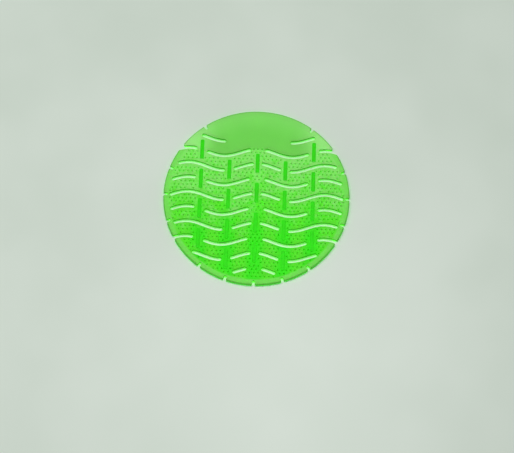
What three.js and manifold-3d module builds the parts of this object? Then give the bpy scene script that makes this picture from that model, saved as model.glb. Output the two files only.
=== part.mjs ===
// Urinal deodorizer screen: a round, flexible mat moulded in one piece from soft green EVA.
// Millimetres, +Z up. The mat lies flat on z = 0 with its plain end towards +Y, and the
// origin is the middle of its underside. Left and right halves mirror each other.

import * as THREE from 'three';
import { mergeGeometries, mergeVertices } from 'three/addons/utils/BufferGeometryUtils.js';
import Module from 'manifold-3d';

// Sheet and border
const matDiameter = 185;
const sheetThickness = 2.5;
const standHeight = 1.6; // how far the ribs and the border hold the sheet up
const borderWidth = 5.4;
const edgeRadius = 1.2; // rounding of the outer top edge
const edgeChamfer = 0.4; // bevel of the outer bottom edge

// Drain slots: rows of one wave, counted up and down from the row through the middle
const rowPitch = 15.75;
const rowsAbove = 4;
const rowsBelow = 5;
const waveHeight = 8;
const waveLength = 68;
const slotWidth = 3.6;
const slotMargin = 6; // plain rim outside a slot that stops short of the edge
const lastRowMargin = 8.8; // the same in the row opposite the plain end
const openRow = 3; // rows this far from the middle run out through the edge
const slotMouthRadius = 1.6; // rounding of the corners where an open slot meets the edge
const shortestSlot = 5;

// Bridges between the slots. Even rows are split at column 1 and odd rows at column 2, and a
// rib carries every bridge but the odd rows' middle one.
const columnSpacing = 28;
const bridgeWidth = 8.4; // at column 1
const outerBridge = 9.8; // at column 2
const spineBridge = 7.6; // at the middle, on even rows
const wideSpineBridge = 14.2; // at the middle, on odd rows
const ribWidth = 3.6;
const ribLength = 21.5;
const ribRise = 0.8; // above the sheet

// Edge notches
const notchStep = 18; // degrees
const highestNotch = 54; // degrees from +X; the plain end beyond it has none
const notchWidth = 2.8;
const notchDepth = 4.4;
const notchMouthRadius = 1;

// Bristles, in staggered rows over everything below the plain end
const bristlePitch = 4.2;
const bristleRadius = 0.85;
const bristleHeight = 2.1;
const bristleClearance = 0.8;

// Fineness of the faceted curves
const edgeSegments = 100;
const roundingSteps = 2;
const waveStep = 5.4;
const endSteps = 3;
const bristleSides = 3;
const searchSteps = 40;
const overlap = 1; // how far a cutter runs past what it cuts, and a root sinks into the sheet
const weldDistance = 1e-4;
const axisTolerance = 1e-6;

const matRadius = matDiameter / 2;
const sheetTop = standHeight + sheetThickness;

const wasm = await Module();
wasm.setup();

function toSolid(geometry) {
  geometry.deleteAttribute('normal');
  geometry.deleteAttribute('uv');
  const merged = mergeVertices(geometry, weldDistance);
  const mesh = new wasm.Mesh({
    numProp: 3,
    vertProperties: new Float32Array(merged.attributes.position.array),
    triVerts: new Uint32Array(merged.index.array),
  });
  return new wasm.Manifold(mesh);
}

function toGeometry(solid) {
  const mesh = solid.getMesh();
  const geometry = new THREE.BufferGeometry();
  geometry.setAttribute('position', new THREE.BufferAttribute(mesh.vertProperties, 3));
  geometry.setIndex(new THREE.BufferAttribute(mesh.triVerts, 1));
  geometry.computeVertexNormals();
  return geometry;
}

function extrudeOutline(points, bottom, top) {
  const geometry = new THREE.ExtrudeGeometry(new THREE.Shape(points), {
    depth: top - bottom,
    bevelEnabled: false,
  });
  geometry.translate(0, 0, bottom);
  return toSolid(geometry);
}

function mirrored(points) {
  return points.map((p) => new THREE.Vector2(-p.x, p.y));
}

// Paths. Each gives the point at t and the unit normal on its left.

function wavePath(row) {
  const turnsPerLength = (2 * Math.PI) / waveLength;
  return (t) => {
    const swing = waveHeight / 2;
    const slope = -swing * turnsPerLength * Math.sin(turnsPerLength * t);
    return {
      point: new THREE.Vector2(t, row * rowPitch + swing * Math.cos(turnsPerLength * t)),
      normal: new THREE.Vector2(-slope, 1).normalize(),
    };
  };
}

function radialPath(angle) {
  return (t) => ({
    point: new THREE.Vector2(t * Math.cos(angle), t * Math.sin(angle)),
    normal: new THREE.Vector2(-Math.sin(angle), Math.cos(angle)),
  });
}

function columnPath(x) {
  return (t) => ({
    point: new THREE.Vector2(x, t),
    normal: new THREE.Vector2(-1, 0),
  });
}

function beside(path, t, distance) {
  const { point, normal } = path(t);
  return point.clone().addScaledVector(normal, distance);
}

function wall(path, from, to, distance, step) {
  const count = Math.max(1, Math.ceil(Math.abs(to - from) / step));
  const points = [];
  for (let i = 0; i <= count; i++) {
    points.push(beside(path, from + ((to - from) * i) / count, distance));
  }
  return points;
}

function arc(centre, radius, from, to, steps) {
  const points = [];
  for (let i = 0; i <= steps; i++) {
    const angle = from + ((to - from) * i) / steps;
    points.push(new THREE.Vector2(Math.cos(angle), Math.sin(angle)).multiplyScalar(radius).add(centre));
  }
  return points;
}

// Half circle that closes a channel at t. It turns left, so it starts on the right-hand wall
// at the far end and on the left-hand wall at the near end.
function roundEnd(path, t, radius, isFarEnd) {
  const { point, normal } = path(t);
  const start = normal.angle() + (isFarEnd ? -Math.PI : 0);
  return arc(point, radius, start, start + Math.PI, endSteps).slice(1, -1);
}

function closedChannel(path, from, to, width, step) {
  const half = width / 2;
  return [
    ...wall(path, from, to, -half, step),
    ...roundEnd(path, to, half, true),
    ...wall(path, to, from, half, step),
    ...roundEnd(path, from, half, false),
  ];
}

// The t at which a line beside the path has come out to a distance from the mat's centre
function reach(path, distance, radius) {
  let low = 0;
  let high = matRadius;
  for (let i = 0; i < searchSteps; i++) {
    const middle = (low + high) / 2;
    if (beside(path, middle, distance).length() < radius) low = middle;
    else high = middle;
  }
  return low;
}

// One wall of a channel that runs out through the edge, with its corner rounded into the rim
function openWall(path, from, half, mouthRadius, side, step) {
  const offset = side * (half + mouthRadius);
  const tangent = reach(path, offset, matRadius - mouthRadius);
  const centre = beside(path, tangent, offset);
  const start = path(tangent).normal.multiplyScalar(-side).angle();
  let turn = centre.angle() - start;
  turn -= 2 * Math.PI * Math.round(turn / (2 * Math.PI));
  return [
    ...wall(path, from, tangent, side * half, step).slice(0, -1),
    ...arc(centre, mouthRadius, start, start + turn, roundingSteps),
    centre.clone().setLength(matRadius + overlap),
  ];
}

function openChannel(path, from, width, mouthRadius, step) {
  const half = width / 2;
  return [
    ...openWall(path, from, half, mouthRadius, -1, step),
    ...openWall(path, from, half, mouthRadius, 1, step).reverse(),
    ...roundEnd(path, from, half, false),
  ];
}

// Slots on the right half, as stretches of their row's wave between the centres of their ends
function slotsOfRow(row) {
  const path = wavePath(row);
  const half = slotWidth / 2;
  const margin = row === -rowsBelow ? lastRowMargin : slotMargin;
  const limit = reach(path, 0, matRadius - margin - half);
  const splitsAtFirst = row % 2 === 0;
  const spine = (splitsAtFirst ? spineBridge : wideSpineBridge) / 2 + half;
  const split = splitsAtFirst ? columnSpacing : 2 * columnSpacing;
  const gap = (splitsAtFirst ? bridgeWidth : outerBridge) / 2 + half;
  const stretches = [
    { from: spine, to: Math.min(split - gap, limit), open: false },
    { from: split + gap, to: limit, open: Math.abs(row) === openRow },
  ];
  if (row === rowsAbove) stretches.shift(); // the plain end keeps its middle whole
  return stretches
    .filter(({ from, to }) => to - from > shortestSlot - slotWidth)
    .map((stretch) => ({ row, path, ...stretch }));
}

function ribsOfRow(row) {
  const path = wavePath(row);
  const columns = row % 2 === 0 ? [0, columnSpacing] : [2 * columnSpacing];
  return columns.map((x) => ({ x, middle: path(x).point.y }));
}

const rows = [];
for (let row = -rowsBelow; row <= rowsAbove; row++) rows.push(row);
const slots = rows.flatMap(slotsOfRow);
const openSlots = slots.filter((slot) => slot.open);

const plainRow = openRow; // the bristles start below this row
const ribReach = matRadius - borderWidth;
const ribs = rows
  .filter((row) => row <= plainRow)
  .flatMap(ribsOfRow)
  .filter(({ x, middle }) => Math.hypot(x, Math.abs(middle) + ribLength / 2) < ribReach);

function makeSheet() {
  const rim = matRadius - edgeRadius;
  const profile = [
    new THREE.Vector2(0, standHeight),
    new THREE.Vector2(matRadius - borderWidth, standHeight),
    new THREE.Vector2(matRadius - borderWidth, 0),
    new THREE.Vector2(matRadius - edgeChamfer, 0),
    new THREE.Vector2(matRadius, edgeChamfer),
    ...arc(new THREE.Vector2(rim, sheetTop - edgeRadius), edgeRadius, 0, Math.PI / 2, roundingSteps),
    new THREE.Vector2(0, sheetTop),
  ];
  const geometry = new THREE.LatheGeometry(profile, edgeSegments);
  geometry.rotateX(Math.PI / 2);
  return toSolid(geometry);
}

function cutChannel(sheet, outline) {
  const tool = extrudeOutline(outline, -overlap, sheetTop + overlap);
  return sheet.subtract(tool);
}

function cutSlots(sheet) {
  let result = sheet;
  for (const { path, from, to, open } of slots) {
    const outline = open
      ? openChannel(path, from, slotWidth, slotMouthRadius, waveStep)
      : closedChannel(path, from, to, slotWidth, waveStep);
    result = cutChannel(result, outline);
    result = cutChannel(result, mirrored(outline));
  }
  return result;
}

function cutNotches(sheet) {
  const step = THREE.MathUtils.degToRad(notchStep);
  const highest = THREE.MathUtils.degToRad(highestNotch);
  const mouths = openSlots.map(({ path }) => path(reach(path, 0, matRadius)).point);
  let result = sheet;
  for (let angle = highest; angle > -Math.PI / 2 - step / 2; angle -= step) {
    const path = radialPath(angle);
    const isTaken = mouths.some((mouth) => mouth.distanceTo(path(matRadius).point) < (matRadius * step) / 2);
    if (isTaken) continue;
    const innerEnd = matRadius - notchDepth + notchWidth / 2;
    const outline = openChannel(path, innerEnd, notchWidth, notchMouthRadius, notchDepth);
    result = cutChannel(result, outline);
    const isOnAxis = Math.abs(Math.cos(angle)) < axisTolerance;
    if (!isOnAxis) result = cutChannel(result, mirrored(outline));
  }
  return result;
}

function addRibs(sheet) {
  let result = sheet;
  for (const { x, middle } of ribs) {
    const reachUp = ribLength / 2 - ribWidth / 2;
    const outline = closedChannel(columnPath(x), middle - reachUp, middle + reachUp, ribWidth, ribLength);
    result = result.add(extrudeOutline(outline, 0, sheetTop + ribRise));
    if (x > 0) result = result.add(extrudeOutline(mirrored(outline), 0, sheetTop + ribRise));
  }
  return result;
}

// What the bristles keep clear of, as discs along each slot and rib on the right half
function keepOuts() {
  const edge = bristleClearance + bristleRadius;
  const discs = [];
  for (const { path, from, to, open } of slots) {
    const line = wall(path, from, open ? matRadius : to, 0, edge / 2);
    for (const point of line) discs.push({ point, radius: slotWidth / 2 + edge });
  }
  for (const { x, middle } of ribs) {
    const reachUp = ribLength / 2 - ribWidth / 2;
    const line = wall(columnPath(x), middle - reachUp, middle + reachUp, 0, edge / 2);
    for (const point of line) discs.push({ point, radius: ribWidth / 2 + edge });
  }
  return discs;
}

function bristleSpots() {
  const discs = keepOuts();
  const plainLine = wavePath(plainRow);
  const fieldRadius = matRadius - borderWidth - bristleRadius;
  const lineSpacing = bristlePitch * Math.sin(Math.PI / 3);
  const lines = Math.ceil(matRadius / lineSpacing);
  const spots = [];
  for (let line = -lines; line <= lines; line++) {
    const y = line * lineSpacing;
    const stagger = line % 2 === 0 ? 0 : bristlePitch / 2;
    for (let x = stagger; x < fieldRadius; x += bristlePitch) {
      const spot = new THREE.Vector2(x, y);
      const isInField = spot.length() < fieldRadius && y < plainLine(x).point.y;
      const isClear = discs.every(({ point, radius }) => point.distanceTo(spot) >= radius);
      if (!isInField || !isClear) continue;
      spots.push(spot);
      if (x > 0) spots.push(new THREE.Vector2(-x, y));
    }
  }
  return spots;
}

function addBristles(sheet) {
  const full = bristleHeight + overlap;
  const spread = (bristleRadius * full) / bristleHeight; // the cone's radius at its sunken root
  const bristle = new THREE.ConeGeometry(spread, full, bristleSides);
  bristle.rotateX(Math.PI / 2);
  bristle.translate(0, 0, sheetTop + bristleHeight - full / 2);
  const field = bristleSpots().map((spot) => bristle.clone().translate(spot.x, spot.y, 0));
  return sheet.add(toSolid(mergeGeometries(field)));
}

const sheet = cutNotches(cutSlots(makeSheet()));
const mat = addBristles(addRibs(sheet));

const softGreenEva = new THREE.MeshStandardMaterial({
  color: new THREE.Color('rgb(108, 219, 70)'),
  roughness: 0.42,
  metalness: 0,
});

const screenMat = new THREE.Mesh(toGeometry(mat), softGreenEva);
screenMat.name = 'screen_mat';

const deodorizerScreen = new THREE.Group();
deodorizerScreen.add(screenMat);

export default deodorizerScreen;
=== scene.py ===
import math
import bmesh
import bpy
from mathutils import Matrix, Vector


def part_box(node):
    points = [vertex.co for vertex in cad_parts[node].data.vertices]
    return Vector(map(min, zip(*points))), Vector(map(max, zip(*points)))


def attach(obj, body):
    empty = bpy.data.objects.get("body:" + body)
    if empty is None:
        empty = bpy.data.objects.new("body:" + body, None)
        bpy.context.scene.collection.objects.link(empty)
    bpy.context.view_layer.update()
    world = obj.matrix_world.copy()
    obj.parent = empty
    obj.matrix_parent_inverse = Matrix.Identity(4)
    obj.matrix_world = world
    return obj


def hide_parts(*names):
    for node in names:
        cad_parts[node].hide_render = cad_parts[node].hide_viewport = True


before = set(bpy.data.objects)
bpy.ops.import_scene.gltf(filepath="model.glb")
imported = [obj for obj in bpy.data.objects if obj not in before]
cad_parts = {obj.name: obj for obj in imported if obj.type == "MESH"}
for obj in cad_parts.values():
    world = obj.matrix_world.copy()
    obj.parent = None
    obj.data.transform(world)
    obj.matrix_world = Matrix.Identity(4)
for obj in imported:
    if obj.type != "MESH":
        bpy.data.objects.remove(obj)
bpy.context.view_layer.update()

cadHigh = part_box("screen_mat")[1]
mm = 0.001
print("frame loaded")


# Mat: one round moulding with wavy slots. It is shaped in millimetres and scaled to metres last.

mat = {
    "radius": cadHigh.y / mm,
    "height": cadHigh.z / mm,
    "stand": 1.6,  # ribs and border below the sheet
    "sheet": 2.5,
    "border": 5.4,
    "edgeRounding": 1.2,
    "edgeSteps": 4,
    "footBevel": 0.4,
    "footSteps": 2,
    "turns": 240,  # faces round the rim
    "weld": 1e-4,
}
sheetTop = mat["stand"] + mat["sheet"]

slots = {
    "pitch": 15.75,
    "rowsUp": 4,
    "rowsDown": 5,
    "waveHeight": 8.0,
    "waveLength": 68.0,
    "width": 3.6,
    "margin": 6.0,  # plain rim outside a closed slot
    "lastMargin": 8.8,  # the same, in the last row
    "openRow": 3,
    "mouth": 1.6,  # rounding where an open slot meets the rim
    "lip": 0.35,  # rounding of the slot's own edges
    "lipSteps": 3,
    "step": 1.6,
    "endSteps": 10,
    "shortest": 5.0,
}

bridges = {
    "column": 28.0,
    "gap": 8.4,
    "wideGap": 9.8,  # odd rows
    "spine": 7.6,
    "wideSpine": 14.2,  # odd rows
    "ribWidth": 3.6,
    "ribLength": 21.5,
    "ribRise": 0.8,
    "ribRounding": 0.3,
    "ribStep": 2.0,
}

notches = {
    "step": 18.0,  # degrees
    "highest": 54.0,  # degrees up from the widest place
    "width": 2.8,
    "depth": 4.4,
    "mouth": 1.0,
}

bristles = {
    "pitch": 4.2,
    "radius": 0.85,
    "tip": 0.34,
    "tipRounding": 0.24,
    "tipSteps": 2,
    "clearance": 0.8,  # to slots and ribs
    "sides": 10,
    "root": 0.6,  # sunk into the sheet
}

shading = {
    "weld": 1e-5,
    "flat": 0.999,  # how upright the normal of a flat face is
    "crease": 50,  # degrees, and sharper edges stay sharp
}

cut = 1.0  # how far a cutter runs past the sheet
near = 0.001  # as good as equal
halvings = 40  # of a search along a path


def wavePath(row):
    swing = slots["waveHeight"] / 2
    turn = 2 * math.pi / slots["waveLength"]

    def at(t):
        point = Vector((t, row * slots["pitch"] + swing * math.cos(turn * t)))
        slope = -swing * turn * math.sin(turn * t)
        return point, Vector((-slope, 1)).normalized()

    return at


def radialPath(angle):
    outward = Vector((math.cos(angle), math.sin(angle)))
    return lambda t: (outward * t, Vector((-outward.y, outward.x)))


def columnPath(x):
    return lambda t: (Vector((x, t)), Vector((-1, 0)))


def beside(path, t, distance):
    point, normal = path(t)
    return point + normal * distance


def wall(path, start, end, distance, step):
    count = max(1, math.ceil(abs(end - start) / step))
    return [beside(path, start + (end - start) * i / count, distance) for i in range(count + 1)]


def arc(centre, radius, start, end, steps):
    angles = [start + (end - start) * i / steps for i in range(steps + 1)]
    return [centre + Vector((math.cos(a), math.sin(a))) * radius for a in angles]


def roundEnd(path, t, radius, isFar):
    point, normal = path(t)
    start = math.atan2(normal.y, normal.x) - (math.pi if isFar else 0)
    return arc(point, radius, start, start + math.pi, slots["endSteps"])[1:-1]


def reach(path, distance, radius):  # where a line beside the path has come out to a radius
    low, high = 0.0, mat["radius"]
    for _ in range(halvings):
        middle = (low + high) / 2
        if beside(path, middle, distance).length < radius:
            low = middle
        else:
            high = middle
    return low


def closedChannel(path, start, end, half, step):
    return (
        wall(path, start, end, -half, step)
        + roundEnd(path, end, half, True)
        + wall(path, end, start, half, step)
        + roundEnd(path, start, half, False)
    )


def openWall(path, start, half, mouth, side, step):
    offset = side * (half + mouth)
    tangent = reach(path, offset, mat["radius"] - mouth)
    centre = beside(path, tangent, offset)
    inward = path(tangent)[1] * -side
    first = math.atan2(inward.y, inward.x)
    turn = math.atan2(centre.y, centre.x) - first
    turn -= 2 * math.pi * round(turn / (2 * math.pi))
    outside = centre.normalized() * (mat["radius"] + cut)
    return (
        wall(path, start, tangent, side * half, step)[:-1]
        + arc(centre, mouth, first, first + turn, slots["endSteps"])
        + [outside]
    )


def openChannel(path, start, half, mouth, step):
    return (
        openWall(path, start, half, mouth, -1, step)
        + openWall(path, start, half, mouth, 1, step)[::-1]
        + roundEnd(path, start, half, False)
    )


def slotsOfRow(row):
    path = wavePath(row)
    half = slots["width"] / 2
    margin = slots["lastMargin"] if row == -slots["rowsDown"] else slots["margin"]
    limit = reach(path, 0, mat["radius"] - margin - half)
    splitsEarly = row % 2 == 0
    spine = (bridges["spine"] if splitsEarly else bridges["wideSpine"]) / 2 + half
    split = bridges["column"] * (1 if splitsEarly else 2)
    gap = (bridges["gap"] if splitsEarly else bridges["wideGap"]) / 2 + half
    stretches = [
        (path, spine, min(split - gap, limit), False),
        (path, split + gap, limit, abs(row) == slots["openRow"]),
    ]
    if row == slots["rowsUp"]:
        stretches.pop(0)  # the plain end keeps its middle whole
    return [s for s in stretches if s[2] - s[1] > slots["shortest"] - slots["width"]]


def ribsOfRow(row):
    columns = [0, bridges["column"]] if row % 2 == 0 else [2 * bridges["column"]]
    return [(x, wavePath(row)(x)[0].y) for x in columns]


rows = range(-slots["rowsDown"], slots["rowsUp"] + 1)
slotList = [s for row in rows for s in slotsOfRow(row)]
ribLimit = mat["radius"] - mat["border"]
ribList = [
    (x, y)
    for row in rows
    if row <= slots["openRow"]
    for x, y in ribsOfRow(row)
    if math.hypot(x, abs(y) + bridges["ribLength"] / 2) < ribLimit
]


def meshObject(name, bm):
    mesh = bpy.data.meshes.new(name)
    bm.to_mesh(mesh)
    bm.free()
    made = bpy.data.objects.new(name, mesh)
    bpy.context.scene.collection.objects.link(made)
    return made


def combine(target, tool, operation):
    step = target.modifiers.new(operation, "BOOLEAN")
    step.operation = operation
    step.solver = "MANIFOLD"
    step.object = tool
    bpy.context.view_layer.update()
    evaluated = target.evaluated_get(bpy.context.evaluated_depsgraph_get())
    result = bpy.data.meshes.new_from_object(evaluated)
    target.modifiers.clear()
    target.data = result
    bpy.data.objects.remove(tool)


def makeSheet():
    bm = bmesh.new()
    inner = mat["radius"] - mat["border"]
    profile = [
        (0, mat["stand"]),
        (inner, mat["stand"]),
        (inner, 0),
        (mat["radius"], 0),
        (mat["radius"], sheetTop),
        (0, sheetTop),
    ]
    points = [bm.verts.new((r, 0, z)) for r, z in profile]
    for a, b in zip(points, points[1:]):
        bm.edges.new((a, b))
    bmesh.ops.spin(
        bm, geom=bm.verts[:] + bm.edges[:], cent=(0, 0, 0), axis=(0, 0, 1),
        angle=2 * math.pi, steps=mat["turns"], use_merge=True,
    )
    bmesh.ops.remove_doubles(bm, verts=bm.verts, dist=mat["weld"])
    bmesh.ops.recalc_face_normals(bm, faces=bm.faces)
    edges = ((sheetTop, mat["edgeRounding"], mat["edgeSteps"]), (0, mat["footBevel"], mat["footSteps"]))
    for height, offset, segments in edges:
        rim = [
            e for e in bm.edges
            if all(abs(v.co.z - height) < near for v in e.verts)
            and all(v.co.xy.length > mat["radius"] - near for v in e.verts)
        ]
        bmesh.ops.bevel(
            bm, geom=rim, offset=offset, offset_type="OFFSET", affect="EDGES",
            segments=segments, profile=0.5, material=-1,
        )
    return meshObject("screenMat", bm)


def lipLevels():  # flare and height of a channel's wall, from under the sheet to over it
    r = slots["lip"]
    turns = [math.pi / 2 * i / slots["lipSteps"] for i in range(slots["lipSteps"] + 1)]
    lower = [(r * (1 - math.sin(a)), mat["stand"] + r * (1 - math.cos(a))) for a in turns]
    upper = [(flare, sheetTop + mat["stand"] - z) for flare, z in reversed(lower)]
    return [(r, -cut)] + lower + upper + [(r, mat["height"] + cut)]


def addTool(bm, outlineAt, levels, sign):  # a closed cutter whose wall follows the levels
    first, height = levels[0]
    loop = [bm.verts.new((sign * p.x, p.y, height)) for p in outlineAt(first)]
    top = bm.faces.new(loop)
    for flare, height in levels[1:]:
        grown = bmesh.ops.extrude_face_region(bm, geom=[top, *top.edges])
        top = next(g for g in grown["geom"] if isinstance(g, bmesh.types.BMFace))
        for v, p in zip(top.verts, outlineAt(flare)):
            v.co = (sign * p.x, p.y, height)


def cutSlots(target):
    half = slots["width"] / 2
    bm = bmesh.new()
    for path, start, end, isOpen in slotList:
        def outlineAt(flare):
            if isOpen:
                return openChannel(path, start, half + flare, slots["mouth"] - flare, slots["step"])
            return closedChannel(path, start, end, half + flare, slots["step"])
        for sign in (1, -1):
            addTool(bm, outlineAt, lipLevels(), sign)
    bmesh.ops.recalc_face_normals(bm, faces=bm.faces)
    combine(target, meshObject("slotTool", bm), "DIFFERENCE")


def cutNotches(target):
    step = math.radians(notches["step"])
    half = notches["width"] / 2
    mouths = [path(reach(path, 0, mat["radius"]))[0] for path, _, _, isOpen in slotList if isOpen]
    bm = bmesh.new()
    angle = math.radians(notches["highest"])
    while angle > -math.pi / 2 - step / 2:
        path = radialPath(angle)
        start = mat["radius"] - notches["depth"] + half
        def outlineAt(flare):
            return openChannel(path, start, half + flare, notches["mouth"] - flare, notches["depth"])
        isTaken = any((m - path(mat["radius"])[0]).length < mat["radius"] * step / 2 for m in mouths)
        isMiddle = abs(math.cos(angle)) < near
        signs = (1,) if isMiddle else (1, -1)
        for sign in () if isTaken else signs:
            addTool(bm, outlineAt, lipLevels(), sign)
        angle -= step
    bmesh.ops.recalc_face_normals(bm, faces=bm.faces)
    combine(target, meshObject("notchTool", bm), "DIFFERENCE")


def addRibs(target):
    top = sheetTop + bridges["ribRise"]
    r = bridges["ribRounding"]
    half = bridges["ribWidth"] / 2
    reachUp = bridges["ribLength"] / 2 - half
    third = r / 3
    levels = [(-r, 0), (-third, third), (0, r), (0, top - r), (-third, top - third), (-r, top)]
    bm = bmesh.new()
    for x, y in ribList:
        def outlineAt(flare):
            return closedChannel(columnPath(x), y - reachUp, y + reachUp, half + flare, bridges["ribStep"])
        for sign in ((1, -1) if x else (1,)):
            addTool(bm, outlineAt, levels, sign)
    bmesh.ops.recalc_face_normals(bm, faces=bm.faces)
    combine(target, meshObject("ribs", bm), "UNION")


def bristleSpots():
    edge = bristles["clearance"] + bristles["radius"]
    discs = []
    for path, start, end, isOpen in slotList:
        stop = mat["radius"] if isOpen else end
        discs += [(p, slots["width"] / 2 + edge) for p in wall(path, start, stop, 0, edge / 2)]
    reachUp = (bridges["ribLength"] - bridges["ribWidth"]) / 2
    for x, y in ribList:
        line = wall(columnPath(x), y - reachUp, y + reachUp, 0, edge / 2)
        discs += [(p, bridges["ribWidth"] / 2 + edge) for p in line]
    plainLine = wavePath(slots["openRow"])
    field = mat["radius"] - mat["border"] - bristles["radius"]
    spacing = bristles["pitch"] * math.sin(math.pi / 3)
    lines = math.ceil(mat["radius"] / spacing)
    spots = []
    for line in range(-lines, lines + 1):
        x = 0 if line % 2 == 0 else bristles["pitch"] / 2
        while x < field:
            spot = Vector((x, line * spacing))
            isIn = spot.length < field and spot.y < plainLine(x)[0].y
            if isIn and all((p - spot).length >= radius for p, radius in discs):
                spots += [spot] + ([Vector((-x, spot.y))] if x else [])
            x += bristles["pitch"]
    return spots


def addBristles(target):
    bm = bmesh.new()
    depth = mat["height"] - sheetTop + bristles["root"]
    middle = mat["height"] - depth / 2
    slope = (bristles["radius"] - bristles["tip"]) / (mat["height"] - sheetTop)
    base = bristles["radius"] + slope * bristles["root"]
    for spot in bristleSpots():
        bmesh.ops.create_cone(
            bm, cap_ends=True, segments=bristles["sides"], radius1=base, radius2=bristles["tip"],
            depth=depth, matrix=Matrix.Translation((spot.x, spot.y, middle)),
        )
    tips = [e for e in bm.edges if all(v.co.z > mat["height"] - near for v in e.verts)]
    bmesh.ops.bevel(
        bm, geom=tips, offset=bristles["tipRounding"], offset_type="OFFSET", affect="EDGES",
        segments=bristles["tipSteps"], profile=0.5, material=-1,
    )
    combine(target, meshObject("bristles", bm), "UNION")


def smoothByShape(mesh):  # flat tops stay flat, roundings and bristles shade smoothly
    bm = bmesh.new()
    bm.from_mesh(mesh)
    bmesh.ops.remove_doubles(bm, verts=bm.verts, dist=shading["weld"])
    crease = math.radians(shading["crease"])
    for face in bm.faces:
        face.smooth = True
    for edge in bm.edges:
        flats = [abs(f.normal.z) > shading["flat"] for f in edge.link_faces]
        boundsFlat = any(flats) and not all(flats)
        edge.smooth = not boundsFlat and edge.calc_face_angle(0) < crease
    bm.to_mesh(mesh)
    bm.free()


screenMat = makeSheet()
cutSlots(screenMat)
cutNotches(screenMat)
print("slots and notches cut")
addRibs(screenMat)
addBristles(screenMat)
smoothByShape(screenMat.data)
screenMat.data.transform(Matrix.Scale(mm, 4))
print("mat has", len(screenMat.data.polygons), "faces")


# Finishes: soft see-through green with painted shade, painted light and a painted glow, and a pale glazed
# floor.
# Colours are from 0 to 255 as seen on screen. Patterns are on object coordinates, in millimetres.

green = {
    "plain": (129, 201, 96),
    "field": (156, 226, 124),
    "lowField": (100, 225, 40),
    "pale": (176, 234, 148),  # painted light: the sides and rim of the plain end, painted lighter
    # painted light: the border is painted lighter, standing for light scattered up into it from the glaze
    "border": (138, 224, 104),
    # painted shade: the upper part of the rim wall is painted darker
    "rim": (104, 176, 78),
    "wall": (40, 110, 30),  # painted shade on the slot walls, the underside and all below the top face
    "tip": (116, 240, 72),  # bristles
    "rib": (52, 208, 8),
    "deep": (50, 224, 0),  # where it lies wet
    "glow": (138, 255, 62),  # light that comes through from below
    "throughLight": 0.13,
    "innerThroughLight": 0.7,  # underside
    "paintedGlow": (116, 255, 36),  # painted glow: the underside glows, standing for light that the soft plastic throws down on the floor
    "paintedGlowStrength": 2.8,
    "subsurface": 0.3,
    "scatter": (0.45, 1.0, 0.25),
    "scatterLength": 0.004,  # metres
    "roughness": 0.36,
    "grainRoughness": 0.1,
    "plainGloss": 0.05,  # how much smoother the plain end is
    "gloss": 0.12,
    "bump": 0.25,
    "bumpDepth": 0.0002,  # metres
    "bumpGrain": 0.25,
}

noises = {  # scale and detail
    "blotches": (0.06, 3.0),
    "patches": (0.13, 2.0),
    "mottle": (0.3, 2.0),
    "speckle": (0.75, 2.0),
    "grain": (2.6, 4.0),
}

masks = {  # where each mask starts and ends
    "plain": (-1.5, 0.5),  # from the wave that closes the plain end
    "border": (-1.2, 1.0),  # from the border's inner side
    "outer": (-27, -2),  # from the rim
    "sides": (36, 68),  # from the middle line
    "under": (0, 0.3),  # above the underside of the sheet
    "wallTop": (-0.7, -0.2),  # from the top of the sheet
    "wallEnd": (-1, -0.5),  # from the rim
    "tip": (0.1, 0.9),  # above the top of the sheet
    "tipMottle": (0.35, 0.65),
    "rimWall": (-1.6, -0.8),  # from the rim
    "rim": (-1.5, -0.6),  # from the rim
    "rimFoot": (1.8, 3.0),  # height
    "ribSide": (-0.1, 0.3),
    "ribEnd": (-1, 0),
    "ribsUp": (0, 2),  # past the wave that closes the plain end
    "ribsOut": (82.5, 84),  # from the centre
    "ribsDown": (-78.5, -77.5),  # along the mat, where the plain end is up
    "wetSide": (3, 12),  # from the line of a column of ribs
    "wetDown": (-10, 50),  # below the middle of the mat
    "wetBlotches": (0.2, 0.5),
    "low": (95, 205),  # below the middle, with the noises added
}

shares = {  # how strongly a colour or a noise shows
    "outer": 0.3,
    "sides": 0.7,
    "border": 0.85,
    "tip": 0.8,
    "deep": 0.9,
    "rim": 0.85,
    "lowBlotches": 70,
    "lowMottle": 120,
    "lowPatches": 120,
    "evenShade": 0.93,
    "blotchShade": 0.1,
    "speckleShade": 0.06,
}

glaze = {
    "colour": (219, 230, 218),
    "cloud": (226, 236, 225),
    "cloudNoise": (0.008, 2.0),  # scale and detail
    "cloudMask": (0.3, 0.7),
    "roughness": 0.34,
    "cloudRoughness": 0.06,
}

black = (0, 0, 0, 1)
columns = (0, bridges["column"], 2 * bridges["column"])


def linear(colour):
    parts = [c / 255 for c in colour]
    return tuple(c / 12.92 if c <= 0.04045 else ((c + 0.055) / 1.055) ** 2.4 for c in parts) + (1.0,)


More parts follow.
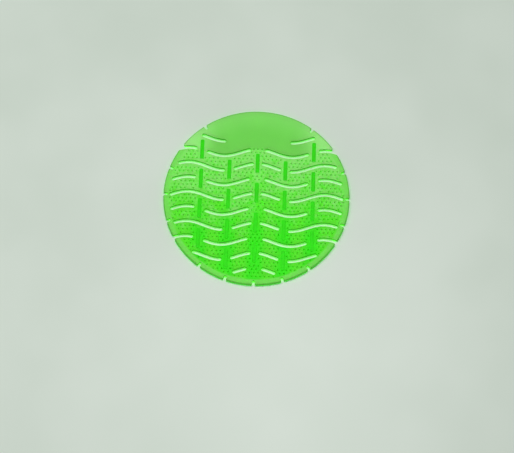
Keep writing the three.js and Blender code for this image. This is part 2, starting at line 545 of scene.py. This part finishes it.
class Field:  # a value over the surface, on which arithmetic adds Math nodes
    def __init__(self, tree, socket=None):
        self.tree = tree
        self.socket = socket

    def make(self, kind, settings, inputs, output=0):
        node = self.tree.nodes.new(kind)
        for name, value in settings.items():
            setattr(node, name, value)
        for name, value in inputs.items():
            if isinstance(value, Field):
                self.tree.links.new(value.socket, node.inputs[name])
            else:
                node.inputs[name].default_value = value
        return Field(self.tree, node.outputs[output])

    def math(self, operation, *values):
        return self.make("ShaderNodeMath", {"operation": operation}, dict(enumerate(values)))

    def __add__(self, other):
        return self.math("ADD", self, other)

    __radd__ = __add__

    def __sub__(self, other):
        return self.math("SUBTRACT", self, other)

    def __rsub__(self, other):
        return self.math("SUBTRACT", other, self)

    def __mul__(self, other):
        return self.math("MULTIPLY", self, other)

    __rmul__ = __mul__

    def magnitude(self):
        return self.math("ABSOLUTE", self)

    def rise(self, ends, start=0):  # from 0 at the first end to 1 at the second, counted from start
        return self.make(
            "ShaderNodeMapRange", {"interpolation_type": "SMOOTHSTEP"},
            {"Value": self, "From Min": start + ends[0], "From Max": start + ends[1]},
        )

    def paint(self, under, over):  # the value is the share of the second colour
        return self.make("ShaderNodeMix", {"data_type": "RGBA"}, {0: self, 6: under, 7: over}, 2)


def newMaterial(name):
    material = bpy.data.materials.new(name)
    material.use_nodes = True
    tree = material.node_tree
    tree.nodes.clear()
    out = tree.nodes.new("ShaderNodeOutputMaterial")
    start = Field(tree)
    metres = start.make("ShaderNodeTexCoord", {}, {}, "Object")
    place = start.make("ShaderNodeVectorMath", {"operation": "SCALE"}, {0: metres, "Scale": 1 / mm})
    axes = [start.make("ShaderNodeSeparateXYZ", {}, {0: place}, i) for i in range(3)]
    return material, out, place, axes


def noise(place, scale, detail):
    return place.make("ShaderNodeTexNoise", {}, {"Vector": place, "Scale": scale, "Detail": detail})


def fromColumn(x, column):  # distance from the line of a column of ribs, on both sides of the mat
    return (x.magnitude() - column).magnitude()


def ribMask(x, y, radius, plainLine):
    half = bridges["ribWidth"] / 2
    long = bridges["ribLength"] / 2
    stripes = []
    for column, row in zip(columns, (0, 0, 1)):
        along = y - wavePath(row)(column)[0].y
        along = along.math("PINGPONG", along, slots["pitch"])
        isAcross = 1 - fromColumn(x, column).rise(masks["ribSide"], half)
        stripe = isAcross * (1 - along.rise(masks["ribEnd"], long))
        if row == 0:
            stripe = stripe * (1 - plainLine.rise(masks["ribsUp"]))
        stripes.append(stripe)
    isRib = sum(stripes[1:], stripes[0])
    return isRib * (1 - radius.rise(masks["ribsOut"])) * y.rise(masks["ribsDown"])


def wetMask(x, y, isBorder, blotches):
    stripes = [1 - fromColumn(x, column).rise(masks["wetSide"]) for column in columns]
    wide = sum(stripes[1:], stripes[0])
    isDown = (0 - y).rise(masks["wetDown"])
    return wide * isDown * (1 - isBorder) * blotches.rise(masks["wetBlotches"])


def makeGreen():
    material, out, place, (x, y, z) = newMaterial("softGreen")
    blotches, patches, mottle, speckle, grain = [noise(place, *noises[name]) for name in noises]
    rim = mat["radius"]
    turn = 2 * math.pi / slots["waveLength"]
    wave = (x * turn).math("COSINE", x * turn) * (slots["waveHeight"] / 2)
    radius = place.math("SQRT", x * x + y * y)
    plainLine = y - wave - slots["openRow"] * slots["pitch"]
    isPlain = plainLine.rise(masks["plain"])
    isBorder = radius.rise(masks["border"], rim - mat["border"])
    isOuter = radius.rise(masks["outer"], rim)
    isSide = x.magnitude().rise(masks["sides"])
    isUnder = 1 - z.rise(masks["under"], mat["stand"])
    # painted shade: everything below the top of the sheet, away from the rim, is painted dark
    isShadedWall = (1 - z.rise(masks["wallTop"], sheetTop)) * (1 - radius.rise(masks["wallEnd"], rim))
    isTip = z.rise(masks["tip"], sheetTop) * mottle.rise(masks["tipMottle"])
    # painted shade on the upper part of the rim wall
    isShadedRim = radius.rise(masks["rim"], rim) * z.rise(masks["rimFoot"])
    lowness = -1 * y + shares["lowBlotches"] * blotches
    lowness = lowness + shares["lowMottle"] * mottle + shares["lowPatches"] * patches
    layers = (  # each painted over the ones before it
        # the border's lighter colour is painted light
        (isBorder * shares["border"], "border"),
        (isPlain, "plain"),
        # painted light: the plain end is painted lighter towards its rim and sides
        (isPlain * (shares["outer"] * isOuter + shares["sides"] * isSide), "pale"),
        (isTip * shares["tip"], "tip"),
        (ribMask(x, y, radius, plainLine), "rib"),
        (wetMask(x, y, isBorder, blotches) * shares["deep"], "deep"),
        (isShadedWall, "wall"),
        (isShadedRim * shares["rim"], "rim"),
    )
    colour = lowness.rise(masks["low"]).paint(linear(green["field"]), linear(green["lowField"]))
    for share, name in layers:
        colour = share.paint(colour, linear(green[name]))
    shade = shares["evenShade"] + shares["blotchShade"] * blotches + shares["speckleShade"] * speckle
    colour = place.make("ShaderNodeVectorMath", {"operation": "SCALE"}, {0: colour, "Scale": shade})
    # painted glow: the underside of the sheet, away from the rim wall, emits green light
    glowingUnderside = isUnder * (1 - radius.rise(masks["rimWall"], rim))
    bump = place.make("ShaderNodeBump", {}, {
        "Strength": green["bump"],
        "Distance": green["bumpDepth"],
        "Height": grain * green["bumpGrain"] + speckle,
    })
    body = place.make("ShaderNodeBsdfPrincipled", {"subsurface_method": "RANDOM_WALK"}, {
        "Base Color": colour,
        "Roughness": green["roughness"] + green["grainRoughness"] * grain - green["plainGloss"] * isPlain,
        "Specular IOR Level": green["gloss"],
        "Subsurface Weight": green["subsurface"],
        "Subsurface Radius": green["scatter"],
        "Subsurface Scale": green["scatterLength"],
        "Emission Color": glowingUnderside.paint(black, linear(green["paintedGlow"])),
        "Emission Strength": green["paintedGlowStrength"],
        "Normal": bump,
    })
    through = place.make("ShaderNodeBsdfTranslucent", {}, {"Color": linear(green["glow"])})
    share = green["throughLight"] + isUnder * (green["innerThroughLight"] - green["throughLight"])
    both = place.make("ShaderNodeMixShader", {}, {0: share, 1: body, 2: through})
    material.node_tree.links.new(both.socket, out.inputs["Surface"])
    return material


def makeGlaze():
    material, out, place, _ = newMaterial("paleGlaze")
    cloud = noise(place, *glaze["cloudNoise"])
    colour = cloud.rise(glaze["cloudMask"]).paint(linear(glaze["colour"]), linear(glaze["cloud"]))
    body = place.make("ShaderNodeBsdfPrincipled", {}, {
        "Base Color": colour,
        "Roughness": glaze["roughness"] + glaze["cloudRoughness"] * cloud,
    })
    material.node_tree.links.new(body.socket, out.inputs["Surface"])
    return material


screenMat.data.materials.clear()
screenMat.data.materials.append(makeGreen())
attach(screenMat, "root")
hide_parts("screen_mat")
print("mat finished")


# Studio: pale floor, a broad lamp almost overhead and a weaker one at the left, in metres.
# The camera looks down on the mat as the photograph does.

studio = {
    "floorSize": 3.0,
    "floorGap": 0.00005,
    "world": (228, 234, 230),
    "worldStrength": 0.41,
    "lampAim": (0, 0, 0),
    "lampWidth": 0.5,
    "lamps": (  # name, place, power
        ("keyLamp", (0.05, 0.2, 1.5), 7.6),
        ("fillLamp", (-0.7, 0.1, 1.35), 3.4),
    ),
    "lens": 120,
    "sensor": 36,
    "elevation": 69.5,
    "turn": 1.9,
    "distance": 1.69,
    "aim": (0.0016, -0.0318, 0.004),
}


def pointAt(item, target):
    item.rotation_euler = (Vector(target) - item.location).to_track_quat("-Z", "Y").to_euler()


bm = bmesh.new()
bmesh.ops.create_grid(bm, x_segments=1, y_segments=1, size=studio["floorSize"] / 2)
bmesh.ops.translate(bm, verts=bm.verts, vec=(0, 0, -studio["floorGap"]))
floor = meshObject("floor", bm)
floor.data.materials.append(makeGlaze())

world = bpy.data.worlds.new("paleRoom")
world.use_nodes = True
sky = world.node_tree.nodes["Background"]
sky.inputs["Color"].default_value = linear(studio["world"])
sky.inputs["Strength"].default_value = studio["worldStrength"]
bpy.context.scene.world = world

for name, place, power in studio["lamps"]:
    lamp = bpy.data.lights.new(name, "AREA")
    lamp.size = studio["lampWidth"]
    lamp.energy = power
    lampObject = bpy.data.objects.new(name, lamp)
    lampObject.location = place
    pointAt(lampObject, studio["lampAim"])
    bpy.context.scene.collection.objects.link(lampObject)

cameraData = bpy.data.cameras.new("camera")
cameraData.lens = studio["lens"]
cameraData.sensor_width = studio["sensor"]
camera = bpy.data.objects.new("camera", cameraData)
tilt = math.radians(studio["elevation"])
turn = math.radians(studio["turn"])
away = Vector((math.cos(tilt) * math.sin(turn), -math.cos(tilt) * math.cos(turn), math.sin(tilt)))
camera.location = Vector(studio["aim"]) + away * studio["distance"]
pointAt(camera, studio["aim"])
bpy.context.scene.collection.objects.link(camera)
bpy.context.scene.camera = camera
bpy.context.scene.view_settings.view_transform = "Standard"
print("studio ready")
